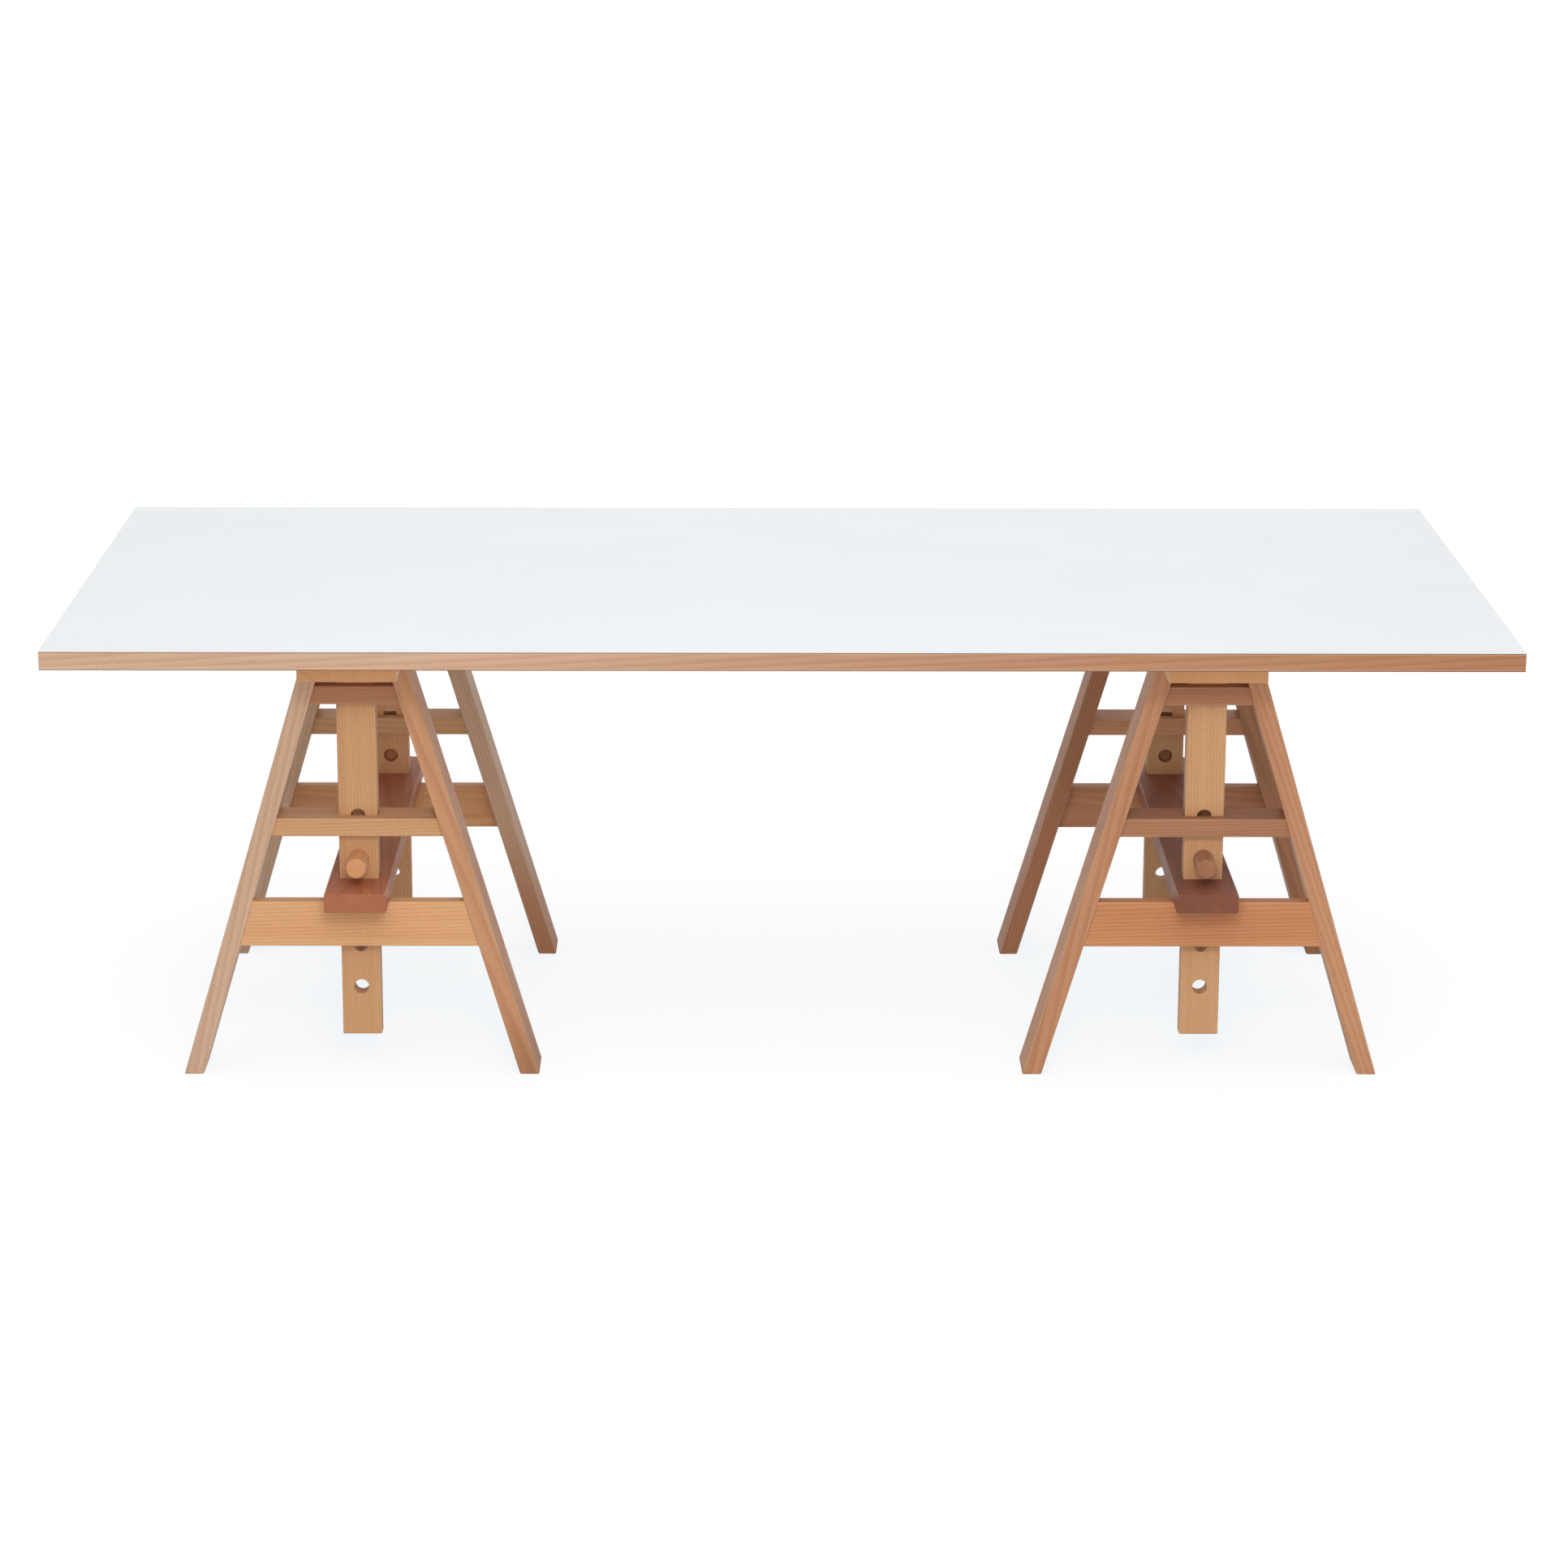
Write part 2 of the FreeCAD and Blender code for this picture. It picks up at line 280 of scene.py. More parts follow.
class EffectGroup:
    """A node group with named inputs and outputs that several finishes share."""

    NAME = "effect"
    INPUTS: dict[str, str] = {}
    OUTPUTS: dict[str, str] = {}

    @classmethod
    def tree(cls) -> bpy.types.NodeTree:
        """Give the group's node tree, which is built when it is first asked for.

        Returns:
            The node tree.
        """
        found = bpy.data.node_groups.get(cls.NAME)
        if found:
            return found
        made = bpy.data.node_groups.new(cls.NAME, "ShaderNodeTree")
        for name, kind in cls.INPUTS.items():
            made.interface.new_socket(name, in_out="INPUT", socket_type=f"NodeSocket{kind}")
        for name, kind in cls.OUTPUTS.items():
            made.interface.new_socket(name, in_out="OUTPUT", socket_type=f"NodeSocket{kind}")
        bench = NodeBench(made)
        given = bench.add("NodeGroupInput", {})
        bench.add("NodeGroupOutput", cls.build(bench, {name: given.outputs[name] for name in cls.INPUTS}))
        return made

    @classmethod
    def build(cls, bench: NodeBench, given: dict[str, Socket]) -> dict[str, Feed]:
        """Build the group's nodes.

        Args:
            bench: Where the nodes go.
            given: The group's inputs by name.

        Returns:
            What goes to each output, by name.
        """
        raise NotImplementedError

    @classmethod
    def place(cls, bench: NodeBench, inputs: dict[str, Feed]) -> dict[str, Socket]:
        """Put the group into a material with its own values.

        Args:
            bench: The material's bench.
            inputs: What goes into each input.

        Returns:
            The outputs by name.
        """
        node = bench.add("ShaderNodeGroup", inputs, node_tree=cls.tree())
        return {name: node.outputs[name] for name in cls.OUTPUTS}


class BeechFigure(EffectGroup):
    """The figure of a beech board, as a solid pattern in the board's own coordinates.

    Ring lines: the distance from a pith line beside the board, which leans a little and wanders with slow noise,
    is divided by the ring pitch. The part of a ring that is left over rises slowly and drops at its end, which is
    the thin line of late wood. Streaks and fibres are noise drawn out along the grain. Ray flecks are the short
    dashes of beech: cells drawn out along the grain, of which some are dark.
    """

    NAME = "beech_figure"
    INPUTS = {"Vector": "Vector", "Seed": "Float", "Pith": "Vector", "Early": "Color", "Late": "Color"}
    OUTPUTS = {"Color": "Color", "Height": "Float", "Fibre": "Float"}

    SEED_SHIFT: Triple = (7.3, 3.1, 5.7)
    BANDS = DrawnNoise((0.9, 9.0, 9.0), detail=3.0)
    STREAKS = DrawnNoise((1.6, 62.0, 62.0), detail=4.0, roughness=0.6)
    FIBRES = DrawnNoise((28.0, 1500.0, 1500.0), detail=3.0, roughness=0.6)

    RING_PITCH = 0.0042
    RING_WANDER = 0.011
    RING_RISE: Span = (0.25, 0.93)
    RING_DROP: Span = (0.94, 1.0)
    PITH_LEAN = 0.022

    FLECKS: Triple = (230.0, 1050.0, 1050.0)
    FLECK_RIM: Span = (0.14, 0.36)
    FLECK_CHOICE: Span = (0.5, 0.62)
    FLECK_SHARE = 0.42
    FLECK_BROWN = paint(126, 74, 48)

    # How much each layer adds to the share of late wood, from a start below nothing.
    DARK_START = -0.60
    BAND_DARK = 0.75
    RING_DARK = 0.34
    STREAK_DARK = 0.85
    FIBRE_DARK = 0.32

    FIBRE_HEIGHT = 0.6
    RING_HEIGHT = 0.35
    FLECK_HEIGHT = -0.5

    @classmethod
    def build(cls, bench: NodeBench, given: dict[str, Socket]) -> dict[str, Feed]:
        """Build the figure: rings, streaks, fibres and flecks, mixed into one colour and one height.

        Args:
            bench: Where the nodes go.
            given: The board's coordinates, seed, pith and two colours.

        Returns:
            The colour, the height and the fibre value.
        """
        seed = given["Seed"]
        shift = bench.vector("MULTIPLY", bench.join(seed, seed, seed), cls.SEED_SHIFT)
        place = bench.vector("ADD", given["Vector"], shift)
        bands = cls.BANDS.read(bench, place)
        streaks = cls.STREAKS.read(bench, place)
        fibres = cls.FIBRES.read(bench, place)
        rings = cls.ring_lines(bench, given, bands)
        flecks = cls.ray_flecks(bench, place)
        darkness = bench.scale_add(bands, cls.BAND_DARK, cls.DARK_START)
        darkness = bench.scale_add(rings, cls.RING_DARK, darkness)
        darkness = bench.scale_add(streaks, cls.STREAK_DARK, darkness)
        darkness = bench.scale_add(fibres, cls.FIBRE_DARK, darkness, clamp=True)
        wood = bench.mix(darkness, given["Early"], given["Late"])
        flecked = bench.mix(bench.math("MULTIPLY", flecks, cls.FLECK_SHARE), wood, cls.FLECK_BROWN)
        height = bench.math("MULTIPLY", rings, cls.RING_HEIGHT)
        height = bench.scale_add(fibres, cls.FIBRE_HEIGHT, height)
        height = bench.scale_add(flecks, cls.FLECK_HEIGHT, height)
        return {"Color": flecked, "Height": height, "Fibre": fibres}

    @classmethod
    def ring_lines(cls, bench: NodeBench, given: dict[str, Socket], wander: Socket) -> Socket:
        """Draw the thin lines of late wood.

        Args:
            bench: Where the nodes go.
            given: The board's coordinates and pith.
            wander: Slow noise that bends the rings.

        Returns:
            The socket of the lines, 0 to 1.
        """
        along, across, through = bench.split(bench.vector("SUBTRACT", given["Vector"], given["Pith"]))
        squares = bench.math("MULTIPLY_ADD", across, across, bench.math("POWER", through, 2.0))
        radius = bench.scale_add(along, cls.PITH_LEAN, bench.math("SQRT", squares))
        radius = bench.scale_add(wander, cls.RING_WANDER, radius)
        phase = bench.math("FRACT", bench.math("DIVIDE", radius, cls.RING_PITCH))
        return bench.math("MULTIPLY", bench.rise(phase, *cls.RING_RISE), bench.fall(phase, *cls.RING_DROP))

    @classmethod
    def ray_flecks(cls, bench: NodeBench, place: Socket) -> Socket:
        """Draw the short dark dashes of the rays.

        Args:
            bench: Where the nodes go.
            place: The board's coordinates, shifted by its seed.

        Returns:
            The socket of the dashes, 0 to 1.
        """
        cells = bench.cells(bench.vector("MULTIPLY", place, cls.FLECKS))
        shape = bench.fall(cells.outputs["Distance"], *cls.FLECK_RIM)
        chosen = bench.rise(bench.split(cells.outputs["Color"])[0], *cls.FLECK_CHOICE)
        return bench.math("MULTIPLY", shape, chosen)


class BoardWear(EffectGroup):
    """Where a board is worn and where its pores are open, from its half sizes.

    On the surface of a board one of the two distances to its long sides is nothing, so the larger of them is the
    distance to the arris. The ends are where little is left of the half length.
    """

    NAME = "board_wear"
    INPUTS = {"Vector": "Vector", "Half": "Vector", "Seed": "Float"}
    OUTPUTS = {"Arris": "Float", "End": "Float", "Handled": "Float"}

    ARRIS_START = 0.0004
    ARRIS_WIDTH = 0.0042
    END_DEPTH = 0.0009
    PATCHES = DrawnNoise((9.0, 14.0, 14.0), detail=4.0, roughness=0.62)
    PATCH_SHIFT = 2.0
    HANDLED: Span = (0.36, 0.70)

    @classmethod
    def build(cls, bench: NodeBench, given: dict[str, Socket]) -> dict[str, Feed]:
        """Build the masks of the arrises, the end grain and the handled patches.

        Args:
            bench: Where the nodes go.
            given: The board's coordinates, half sizes and seed.

        Returns:
            The three masks, 0 to 1.
        """
        depth = bench.vector("SUBTRACT", given["Half"], bench.vector("ABSOLUTE", given["Vector"]))
        end_depth, side_depth, face_depth = bench.split(depth)
        shift = bench.join(given["Seed"], cls.PATCH_SHIFT, given["Seed"])
        patches = cls.PATCHES.read(bench, given["Vector"], shift)
        reach = bench.math("MULTIPLY", patches, cls.ARRIS_WIDTH)
        near_arris = bench.math("MAXIMUM", side_depth, face_depth)
        return {
            "Arris": bench.fall(near_arris, cls.ARRIS_START, reach),
            "End": bench.fall(end_depth, cls.END_DEPTH / 2, cls.END_DEPTH),
            "Handled": bench.rise(patches, *cls.HANDLED),
        }


class SheetMottle(EffectGroup):
    """The fine pebble and the faint cloudiness of a pressed laminate sheet, and its dark cut edge.

    The pebble is fine noise, the clouds are slow noise, and the cut edge is where little is left of the sheet's half
    length or half width.
    """

    NAME = "sheet_mottle"
    INPUTS = {"Vector": "Vector", "Half": "Vector"}
    OUTPUTS = {"Pebble": "Float", "Cloud": "Float", "Cut": "Float"}

    PEBBLE = DrawnNoise((900.0, 900.0, 900.0))
    CLOUD = DrawnNoise((3.2, 5.0, 5.0), detail=5.0, roughness=0.6)
    CUT_DEPTH = 0.0003

    @classmethod
    def build(cls, bench: NodeBench, given: dict[str, Socket]) -> dict[str, Feed]:
        """Build the pebble, the clouds and the mask of the cut edge.

        Args:
            bench: Where the nodes go.
            given: The sheet's coordinates and half sizes.

        Returns:
            The three values, 0 to 1.
        """
        depth = bench.vector("SUBTRACT", given["Half"], bench.vector("ABSOLUTE", given["Vector"]))
        near_edge = bench.math("MINIMUM", *bench.split(depth)[:2])
        return {
            "Pebble": cls.PEBBLE.read(bench, given["Vector"]),
            "Cloud": cls.CLOUD.read(bench, given["Vector"]),
            "Cut": bench.fall(near_edge, cls.CUT_DEPTH / 2, cls.CUT_DEPTH),
        }


@dataclass(frozen=True)
class Board:
    """A board's place, as the centre, the turn that takes X to its grain and its half sizes along that turn."""

    centre: Vector
    turn: Triple
    half: Vector
    number: int

    PITH_STEP = 1.7 * GOLDEN_STEP
    PITH_NEAR = 0.055
    PITH_SPREAD = 0.075

    @classmethod
    def of_node(cls, node: str, grain: Grain, number: int) -> "Board":
        """Read a square-cut board's place from the frame.

        Args:
            node: The piece's name.
            grain: The way its grain runs.
            number: The board's number in the batch.

        Returns:
            The board.
        """
        low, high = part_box(node)
        size = Euler(grain.value).to_matrix().transposed() @ ((high - low) / 2)
        return cls((low + high) / 2, grain.value, Vector(map(abs, size)), number)

    @classmethod
    def of_leg(cls, node: str, face: float, lean_sign: int, number: int) -> "Board":
        """Read a leaning leg's place from the frame.

        The leg's box is as wide as its lean over its height plus its face, which is cut level and so is a little
        wider than the square face.

        Args:
            node: The piece's name.
            face: The leg's width, square to its length.
            lean_sign: 1 where the foot stands further along X than the top, otherwise -1.
            number: The board's number in the batch.

        Returns:
            The board.
        """
        low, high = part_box(node)
        size = high - low
        slope = (size.x - face) / size.z
        slope = (size.x - face * math.hypot(1.0, slope)) / size.z
        turn = (0.0, -(math.pi / 2 + lean_sign * math.atan(slope)), 0.0)
        half = Vector((size.z * math.hypot(1.0, slope), size.y, face)) / 2
        return cls((low + high) / 2, turn, half, number)

    @property
    def seed(self) -> float:
        """A number from 0 to 1 that no neighbour in the batch comes close to."""
        return (self.number * GOLDEN_STEP) % 1.0

    @property
    def pith(self) -> Vector:
        """Where the log's middle runs, beside the board."""
        angle = math.tau * ((self.number * self.PITH_STEP) % 1.0)
        distance = self.PITH_NEAR + self.PITH_SPREAD * self.seed
        return Vector((0.0, distance * math.cos(angle), distance * math.sin(angle)))

    def coordinates(self, bench: NodeBench) -> Socket:
        """Give the board's own coordinates, in metres from its centre with X along the grain.

        Args:
            bench: The material's bench.

        Returns:
            The socket of the coordinates.
        """
        read = bench.add("ShaderNodeTexCoord", {})
        inputs = {"Vector": read.outputs["Object"], "Location": tuple(self.centre), "Rotation": self.turn}
        return bench.add("ShaderNodeMapping", inputs, vector_type="TEXTURE").outputs[0]


class PieceMaterial:
    """A piece's own material with one principled shader."""

    def __init__(self, name: str) -> None:
        """Make the material, empty but for its shader.

        Args:
            name: The material's name.
        """
        self.material = bpy.data.materials.new(name)
        self.bench = NodeBench.cleared(self.material)
        self.shader = self.bench.add("ShaderNodeBsdfPrincipled", {})
        self.bench.add("ShaderNodeOutputMaterial", {"Surface": self.shader.outputs[0]})

    def coat(self, node: str, inputs: dict[str, Feed]) -> None:
        """Feed the shader and put the material on every slot of a piece.

        Args:
            node: The piece's name.
            inputs: What goes into each of the shader's inputs.
        """
        for name, value in inputs.items():
            self.bench.feed(self.shader.inputs[name], value)
        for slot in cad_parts[node].material_slots:
            slot.material = self.material


@dataclass(frozen=True)
class OiledBeech:
    """Sanded beech with a thin satin finish, of one tone or turning to another along the grain."""

    tone: BeechTone
    far_tone: BeechTone | None = None
    far_from: float = 1.0
    arris_pale: Colour = paint(236, 203, 166)
    arris_share: float = 0.30
    end_share: float = 0.16
    roughness: float = 0.48
    fibre_rough: float = 0.14
    end_rough: float = 0.16
    handled_rough: float = -0.09
    shine: float = 0.24
    pore_depth: float = 0.00022
    pore_strength: float = 0.55

    def colours(self, bench: NodeBench, place: Socket, board: Board) -> tuple[Feed, Feed]:
        """Give the board's early and late wood, which turn from the near end's tone to the far one.

        The far tone is reached at far_from, which goes from -1 at the near end to 1 at the far end.

        Args:
            bench: The material's bench.
            place: The board's own coordinates.
            board: The board.

        Returns:
            The early and the late colour.
        """
        if self.far_tone is None:
            return self.tone.early, self.tone.late
        share = bench.rise(bench.split(place)[0], -board.half.x, self.far_from * board.half.x)
        early = bench.mix(share, self.tone.early, self.far_tone.early)
        return early, bench.mix(share, self.tone.late, self.far_tone.late)

    def dress(self, node: str, board: Board) -> None:
        """Give a board its own cut of the wood.

        Args:
            node: The piece's name.
            board: The board's place and number.
        """
        material = PieceMaterial(f"beech_{node}")
        bench = material.bench
        place = board.coordinates(bench)
        early, late = self.colours(bench, place, board)
        figure = BeechFigure.place(bench, {
            "Vector": place, "Seed": board.seed, "Pith": board.pith, "Early": early, "Late": late})
        wear = BoardWear.place(bench, {"Vector": place, "Half": board.half, "Seed": board.seed})
        arris = bench.math("MULTIPLY", wear["Arris"], self.arris_share)
        worn = bench.mix(arris, figure["Color"], self.arris_pale)
        end = bench.math("MULTIPLY", wear["End"], self.end_share)
        rough = bench.scale_add(wear["Handled"], self.handled_rough, self.roughness)
        rough = bench.scale_add(figure["Fibre"], self.fibre_rough, rough)
        material.coat(node, {
            "Base Color": bench.mix(end, worn, self.tone.late, "MULTIPLY"),
            "Roughness": bench.scale_add(wear["End"], self.end_rough, rough),
            "Normal": bench.bump(self.pore_strength, self.pore_depth, figure["Height"]),
            "Specular IOR Level": self.shine,
        })
        log.info("%s: beech, %s", node, self.tone.name.lower())


@dataclass(frozen=True)
class PressedLaminate:
    """White laminate with a fine pebble and a brown cut edge."""

    white: Colour = paint(239, 243, 245)
    cloud: Colour = paint(237, 241, 243)
    cloud_span: Span = (0.3, 0.7)
    cut: Colour = paint(122, 84, 60)
    roughness: float = 0.35
    cloud_rough: float = 0.14
    pebble_depth: float = 0.00005
    pebble_strength: float = 0.5

    def dress(self, node: str, board: Board) -> None:
        """Give a sheet its finish.

        Args:
            node: The piece's name.
            board: The sheet's place.
        """
        material = PieceMaterial(f"laminate_{node}")
        bench = material.bench
        mottle = SheetMottle.place(bench, {"Vector": board.coordinates(bench), "Half": board.half})
        face = bench.mix(bench.rise(mottle["Cloud"], *self.cloud_span), self.white, self.cloud)
        material.coat(node, {
            "Base Color": bench.mix(mottle["Cut"], face, self.cut),
            "Roughness": bench.scale_add(mottle["Cloud"], self.cloud_rough, self.roughness),
            "Normal": bench.bump(self.pebble_strength, self.pebble_depth, mottle["Pebble"]),
        })
        log.info("%s: white laminate", node)


@dataclass(frozen=True)
class ChipCore:
    """Pressed wood chips with fine dust between them."""

    pale: Colour = paint(206, 172, 128)
    dark: Colour = paint(148, 108, 70)
    chips: Triple = (260.0, 260.0, 700.0)
    chip_share: float = 0.7
    dust: DrawnNoise = DrawnNoise((3.0, 3.0, 3.0), detail=3.0)
    dust_share: float = 0.3
    roughness: float = 0.68
    dust_rough: float = 0.2
    chip_depth: float = 0.0004
    chip_strength: float = 0.8

    def dress(self, node: str, board: Board) -> None:
        """Give the core its chips: each cell of a squashed cell pattern is one chip with a tone of its own.

        Args:
            node: The piece's name.
            board: The core's place.
        """
        material = PieceMaterial(f"chips_{node}")
        bench = material.bench
        place = bench.vector("MULTIPLY", board.coordinates(bench), self.chips)
        cells = bench.cells(place)
        tone = bench.split(cells.outputs["Color"])[0]
        dust = self.dust.read(bench, place)
        share = bench.scale_add(tone, self.chip_share, bench.math("MULTIPLY", dust, self.dust_share))
        material.coat(node, {
            "Base Color": bench.mix(share, self.pale, self.dark),
            "Roughness": bench.scale_add(dust, self.dust_rough, self.roughness),
            "Normal": bench.bump(self.chip_strength, self.chip_depth, cells.outputs["Distance"]),
        })
        log.info("%s: chipboard", node)


@dataclass(frozen=True)
class FrameTones:
    """The tones of the boards of one leaning frame, and of its post and peg, each partly the wood and partly painted
    light and shade.
    """

    leg_inner: BeechTone
    leg_outer: BeechTone
    low_rail: BeechTone
    mid_rail: BeechTone
    top_rail: BeechTone
    post: BeechTone
    peg: BeechTone


@dataclass
class Trestle:
    """One trestle: two leaning frames, a stretcher, and the posts, pegs and beam that lift.

    A leg that turns from one tone at its foot to another has its own wood in turning, by its name in the trestle.
    """

    side: Side
    first_number: int
    front: FrameTones
    rear: FrameTones
    stretcher: BeechTone
    beam: BeechTone
    dowel: BeechTone = BeechTone.STRAW
    leg_face: float = 0.026
    turning: dict[str, OiledBeech] = field(default_factory=dict)

    FRAME_GRAINS = {
        "low_rail": Grain.ALONG_X,
        "mid_rail": Grain.ALONG_X,
        "top_rail": Grain.ALONG_X,
        "post": Grain.ALONG_Z,
        "peg": Grain.ALONG_Y,
    }

    def dress(self) -> None:
        """Dress the two frames and what joins them, each board with the next number of the batch."""
        number = self.dress_frame("front", self.front, self.first_number)
        number = self.dress_frame("rear", self.rear, number)
        shared = (
            ("stretcher", Grain.ALONG_Y, self.stretcher),
            ("stretcher_dowels", Grain.ALONG_Z, self.dowel),
            ("beam", Grain.ALONG_Y, self.beam),
        )
        for number, (piece, grain, tone) in enumerate(shared, number):
            node = f"{self.side.word}_{piece}"
            OiledBeech(tone).dress(node, Board.of_node(node, grain, number))

    def dress_frame(self, end: str, tones: FrameTones, number: int) -> int:
        """Dress one leaning frame with its post and peg.

        Args:
            end: The frame's word, front or rear.
            tones: The tones of its boards.
            number: The first board's number.

        Returns:
            The number for the next board.
        """
        for place, outward in (("leg_inner", -1), ("leg_outer", 1)):
            node = f"{self.side.word}_{end}_{place}"
            wood = self.turning.get(f"{end}_{place}", OiledBeech(getattr(tones, place)))
            wood.dress(node, Board.of_leg(node, self.leg_face, self.side.value * outward, number))
            number += 1
        for piece, grain in self.FRAME_GRAINS.items():
            node = f"{self.side.word}_{end}_{piece}"
            OiledBeech(getattr(tones, piece)).dress(node, Board.of_node(node, grain, number))
            number += 1
        return number


@dataclass
class TableTop:
    """The loose top: laminate sheets on a chip core, with mitred wood edges."""

    first_number: int
    lippings: dict[str, OiledBeech]

    def dress(self) -> None:
        """Dress the two sheets, the core and the four edges."""
        for node in ("top_laminate", "top_backing"):
            PressedLaminate().dress(node, Board.of_node(node, Grain.ALONG_X, 0))
        ChipCore().dress("top_core", Board.of_node("top_core", Grain.ALONG_X, 0))
        for number, (place, wood) in enumerate(self.lippings.items(), self.first_number):
            grain = Grain.ALONG_X if place in ("front", "rear") else Grain.ALONG_Y
            node = f"top_lipping_{place}"
            wood.dress(node, Board.of_node(node, grain, number))


@dataclass(frozen=True)
class SoftBox:
    """A lamp with an even face that looks at the table's middle and shows neither to the eye nor in a shine."""

    name: str
    place: Triple
    size: Span
    power: float

    def hang(self) -> None:
        """Hang the lamp in its place, with its width, height and power in watts."""
        lamp = bpy.data.lights.new(self.name, "AREA")
        lamp.shape = "RECTANGLE"
        lamp.size, lamp.size_y = self.size
        lamp.energy = self.power
        box = bpy.data.objects.new(self.name, lamp)
        target = Vector((0.0, 0.0, cad_box[1].z / 2))
        box.location = self.place
        box.rotation_euler = (target - Vector(self.place)).to_track_quat("-Z", "Y").to_euler()
        box.visible_camera = False
        box.visible_glossy = False
        bpy.context.scene.collection.objects.link(box)


@dataclass
class Studio:
    """A white floor, even light all round, a wide light overhead and soft boxes.

    The wide front box fills the front, the small key box above it draws the shadow of the top's front edge on the
    legs, and the rear box lights the back.
    """

    floor_half: float = 40.0
    floor_drop: float = 0.0004
    floor_cells: int = 8
    floor_bounce: Colour = (0.63, 0.63, 0.63, 1.0)
    floor_glow: Colour = (0.765, 0.836, 0.875, 1.0)
    floor_shade: Colour = (0.32, 0.22, 0.17, 1.0)
    ambient: float = 0.345
    sky_turn: Triple = (math.radians(12), 0.0, 0.0)
    sky_spread: float = math.radians(70)
    sky_strength: float = 1.36
    boxes: tuple[SoftBox, ...] = (
        SoftBox("front_box", place=(0.0, -3.9, 1.75), size=(1.6, 2.4), power=44.0),
        SoftBox("key_box", place=(0.0, -3.9, 2.37), size=(0.7, 0.35), power=20.0),
        SoftBox("rear_box", place=(0.0, 4.6, 2.2), size=(3.0, 1.6), power=34.0),
    )

    def build(self) -> None:
        """Lay the floor and set the lights."""
        self.lay_floor()
        self.set_world()
        self.open_sky()
        for box in self.boxes:
            box.hang()

    def lay_floor(self) -> None:
        """Lay a level square grid under the feet: both parameters run evenly from one edge to the other."""
        row = self.floor_cells + 1
        steps = np.linspace(-self.floor_half, self.floor_half, row)
        across, along = np.meshgrid(steps, steps)
        points = np.stack([across, along, np.full_like(across, -self.floor_drop)], axis=-1).reshape(-1, 3)
        corner = (np.arange(self.floor_cells)[:, None] * row + np.arange(self.floor_cells)).ravel()
        quads = np.stack([corner, corner + 1, corner + row + 1, corner + row], axis=-1)
        mesh = bpy.data.meshes.new("floor")
        mesh.from_pydata(points.tolist(), [], quads.tolist())
        floor = bpy.data.objects.new("floor", mesh)
        bpy.context.scene.collection.objects.link(floor)
        mesh.materials.append(self.floor_material())

    def seen_directly(self, bench: NodeBench) -> Socket:
        """Give 1 for what the eye, a reflection or glass shows, and 0 for light on its way.

        Args:
            bench: The bench of the floor or the world.

        Returns:
            The socket of the mask.
        """
        path = bench.add("ShaderNodeLightPath", {})
        shown = bench.math("MAXIMUM", path.outputs["Is Camera Ray"], path.outputs["Is Glossy Ray"])
        return bench.math("MAXIMUM", shown, path.outputs["Is Transmission Ray"])

    def floor_material(self) -> bpy.types.Material:
        """Make a floor that shows white with a faint cool shadow and throws back a plain grey light.

        Returns:
            The material.
        """
        material = bpy.data.materials.new("white_floor")
        bench = NodeBench.cleared(material)
        bounce = bench.add("ShaderNodeBsdfDiffuse", {"Color": self.floor_bounce})
        shade = bench.add("ShaderNodeBsdfDiffuse", {"Color": self.floor_shade})
        glow = bench.add("ShaderNodeEmission", {"Color": self.floor_glow, "Strength": 1.0})
        shown = bench.add("ShaderNodeAddShader", {0: shade.outputs[0], 1: glow.outputs[0]})
        inputs = {0: self.seen_directly(bench), 1: bounce.outputs[0], 2: shown.outputs[0]}
        mixed = bench.add("ShaderNodeMixShader", inputs)
        bench.add("ShaderNodeOutputMaterial", {"Surface": mixed.outputs[0]})
        return material

    def set_world(self) -> None:
        """Surround the table with even light that shows as white."""
        world = bpy.data.worlds.new("studio")
        bench = NodeBench.cleared(world)
        light = bench.add("ShaderNodeBackground", {"Color": WHITE, "Strength": self.ambient})
        white = bench.add("ShaderNodeBackground", {"Color": WHITE, "Strength": 1.0})
        inputs = {0: self.seen_directly(bench), 1: light.outputs[0], 2: white.outputs[0]}
        mixed = bench.add("ShaderNodeMixShader", inputs)
        bench.add("ShaderNodeOutputWorld", {"Surface": mixed.outputs[0]})
        bpy.context.scene.world = world

    def open_sky(self) -> None:
        """Set a wide even light overhead that leans a little to the front."""
        lamp = bpy.data.lights.new("overhead_sky", "SUN")
        lamp.angle = self.sky_spread
        lamp.energy = self.sky_strength
        sky = bpy.data.objects.new("overhead_sky", lamp)
        sky.rotation_euler = self.sky_turn
        bpy.context.scene.collection.objects.link(sky)


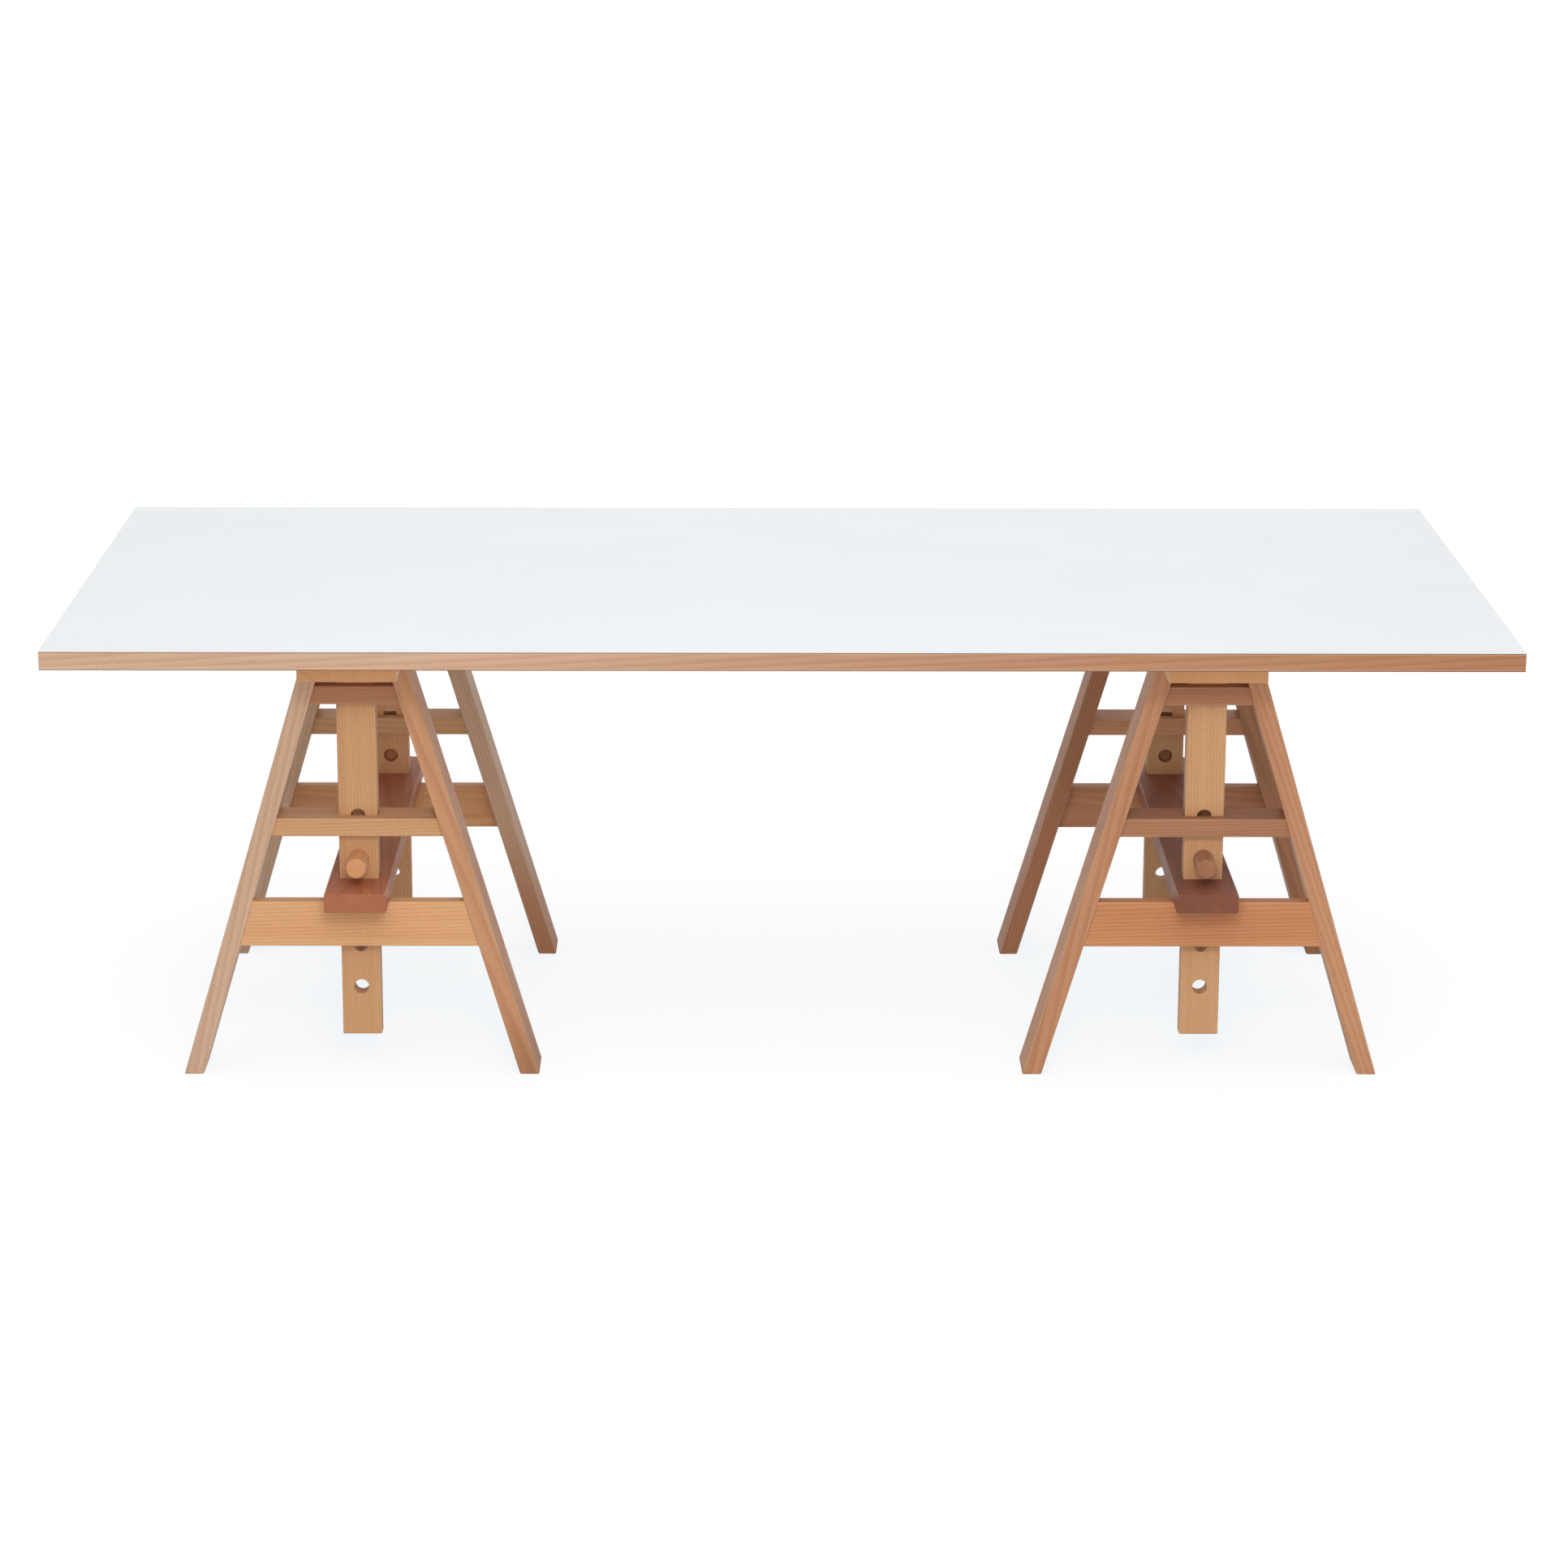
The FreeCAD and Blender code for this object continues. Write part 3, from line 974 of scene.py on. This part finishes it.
@dataclass
class PhotoCamera:
    """A long lens above eye height, in front of the table and a little left of its middle."""

    place: Triple = (-0.05415, -6.35756, 2.01231)
    lens: float = 102.73
    sensor: float = 36.0
    tilt: float = 0.25743
    yaw: float = -0.00948
    roll: float = 0.0035

    def build(self) -> None:
        """Set the camera up and make it the scene's."""
        data = bpy.data.cameras.new("photo_camera")
        data.lens = self.lens
        data.sensor_width = self.sensor
        camera = bpy.data.objects.new("photo_camera", data)
        turn = Matrix.Rotation(self.yaw, 4, "Z")
        turn = turn @ Matrix.Rotation(math.pi / 2 - self.tilt, 4, "X")
        turn = turn @ Matrix.Rotation(self.roll, 4, "Z")
        camera.matrix_world = Matrix.Translation(self.place) @ turn
        bpy.context.scene.collection.objects.link(camera)
        bpy.context.scene.camera = camera


def main() -> None:
    """Dress the two trestles and the top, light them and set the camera."""
    logging.basicConfig(level=logging.INFO, format="%(message)s")
    bpy.context.scene.view_settings.view_transform = "Standard"
    tone = BeechTone
    Trestle(
        Side.LEFT, first_number=1,
        # Painted shade: the front top rail's dark chestnut stands in for the shade that the beam's end and the top's
        # front edge cast on it.
        front=FrameTones(
            tone.AMBER, tone.BLOND, tone.STRAW, tone.HONEY, tone.CHESTNUT, tone.HONEY, tone.STRAW),
        # Painted light: the pale straw of the rear low rail and post and the honey of the rear mid rail stand in for
        # light deep in the shade under the top.
        rear=FrameTones(
            tone.BLOND, tone.BLOND, tone.STRAW, tone.HONEY, tone.AMBER, tone.STRAW, tone.AMBER),
        # The beam's pale straw is partly painted light, for the front light on its end under the top's edge.
        stretcher=tone.RUSSET, beam=tone.STRAW,
        turning={
            "front_leg_inner": OiledBeech(tone.CHESTNUT, tone.AMBER, far_from=-0.6),
            "rear_leg_inner": OiledBeech(tone.CHESTNUT, tone.BLOND, far_from=0.1),
        },
    ).dress()
    # Painted light and shade: the right trestle's darker tones, down to its umber stretcher, are partly the wood and
    # partly the fall-off of a light that is brighter at the left. Its front top rail's chestnut is painted shade of
    # the beam's end and the top's front edge. The amber of its rear mid rail is painted light deep under the top.
    Trestle(
        Side.RIGHT, first_number=21,
        front=FrameTones(
            tone.AMBER, tone.AMBER, tone.COPPER, tone.CHESTNUT, tone.CHESTNUT, tone.HONEY, tone.CHESTNUT),
        rear=FrameTones(
            tone.CHESTNUT, tone.CHESTNUT, tone.AMBER, tone.AMBER, tone.CHESTNUT, tone.HONEY, tone.CHESTNUT),
        # The beam's pale straw is partly painted light, for the front light on its end under the top's edge.
        stretcher=tone.UMBER, beam=tone.STRAW,
    ).dress()
    # The front lipping's turn from blond at the left to chestnut at the right, and the blond left lipping beside the
    # amber right one, are partly the wood and partly painted fall-off of a light that is brighter at the left.
    TableTop(first_number=41, lippings={
        "front": OiledBeech(tone.BLOND, tone.CHESTNUT),
        "rear": OiledBeech(tone.HONEY),
        "left": OiledBeech(tone.BLOND),
        "right": OiledBeech(tone.AMBER),
    }).dress()
    Studio().build()
    PhotoCamera().build()


if __name__ == "__main__":
    main()
